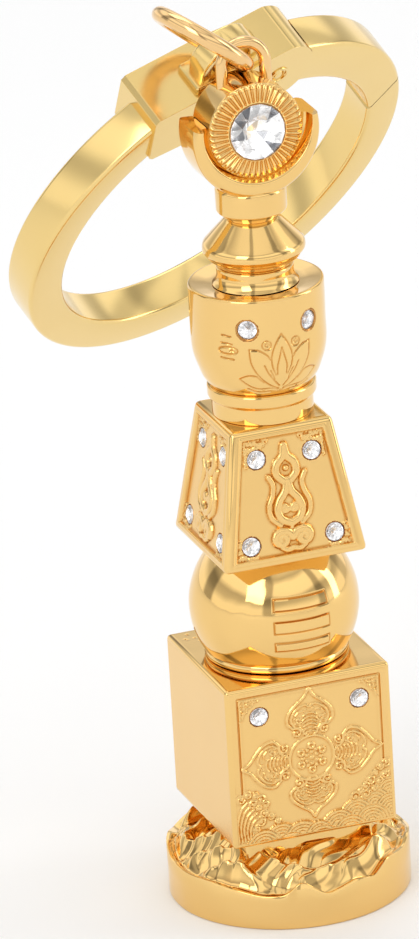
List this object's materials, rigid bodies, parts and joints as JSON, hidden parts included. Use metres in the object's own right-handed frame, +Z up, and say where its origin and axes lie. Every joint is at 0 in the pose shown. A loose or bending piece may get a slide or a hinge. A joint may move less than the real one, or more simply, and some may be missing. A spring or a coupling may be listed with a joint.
{
  "type": "pagoda key ring charm",
  "caption": "Tiered pagoda charm of stacked base, cube, ball, pyramid, bowl and sun disc, with set crystals, hung by a jump ring from a round key ring with a sprung gate.",
  "frame": {"origin": "centre of the round base's underside", "axes": "+Z up the pagoda's own axis towards the sun disc; -Y out of the front face, where the large crystal looks; +X to the right when the front is faced"},
  "size_m": [0.0358, 0.0388, 0.0764],
  "materials": {
    "polished_gold": "mirror-polished gold plate",
    "satin_gold": "satin gold plate with polished edges",
    "pale_gold": "polished pale gold plate",
    "copper_gold": "polished copper-gold plate",
    "crystal": "clear faceted glass, foiled back",
    "steel": "plain bright steel"
  },
  "bodies": {
    "pagoda": {"wave_base": "polished_gold", "earth_cube": "satin_gold", "ball_collar": "polished_gold", "water_ball": "polished_gold", "fire_pyramid": "satin_gold", "bowl_collar": "polished_gold", "wind_bowl": "polished_gold", "neck_ring": "polished_gold", "double_cone": "polished_gold", "moon_holder": "polished_gold", "sun_disc": "polished_gold", "sun_eyelet": "copper_gold", "sun_crystal": "crystal", "cube_crystals": "crystal", "pyramid_crystals": "crystal", "bowl_crystals": "crystal", "tie_screw": "steel"},
    "jump_ring": {"jump_ring": "copper_gold"},
    "key_ring": {"ring_arm": "pale_gold", "clasp_block": "pale_gold", "block_eyelet": "pale_gold", "gate_pin": "pale_gold", "gate_spring": "steel"},
    "gate": {"gate": "pale_gold"}
  },
  "joints": [
    {"name": "jump_ring_swing", "type": "hinge", "parent": "pagoda", "child": "jump_ring", "pos_m": [0, 0, 0.0729], "axis": [1, 0, 0], "range_deg": [0, 40]},
    {"name": "key_ring_slide", "type": "hinge", "parent": "jump_ring", "child": "key_ring", "pos_m": [-0.00286, 0.00119, 0.07327], "axis": [0.6198, 0.111, 0.7769], "range_deg": [0, 150]},
    {"name": "gate_swing", "type": "hinge", "parent": "key_ring", "child": "gate", "pos_m": [0.00451, 0.00726, 0.06845], "axis": [-0.2804, 0.7628, 0.5826], "range_deg": [0, 35], "stiffness_Nm_per_rad": 0.01, "springref_deg": -17.19}
  ]
}
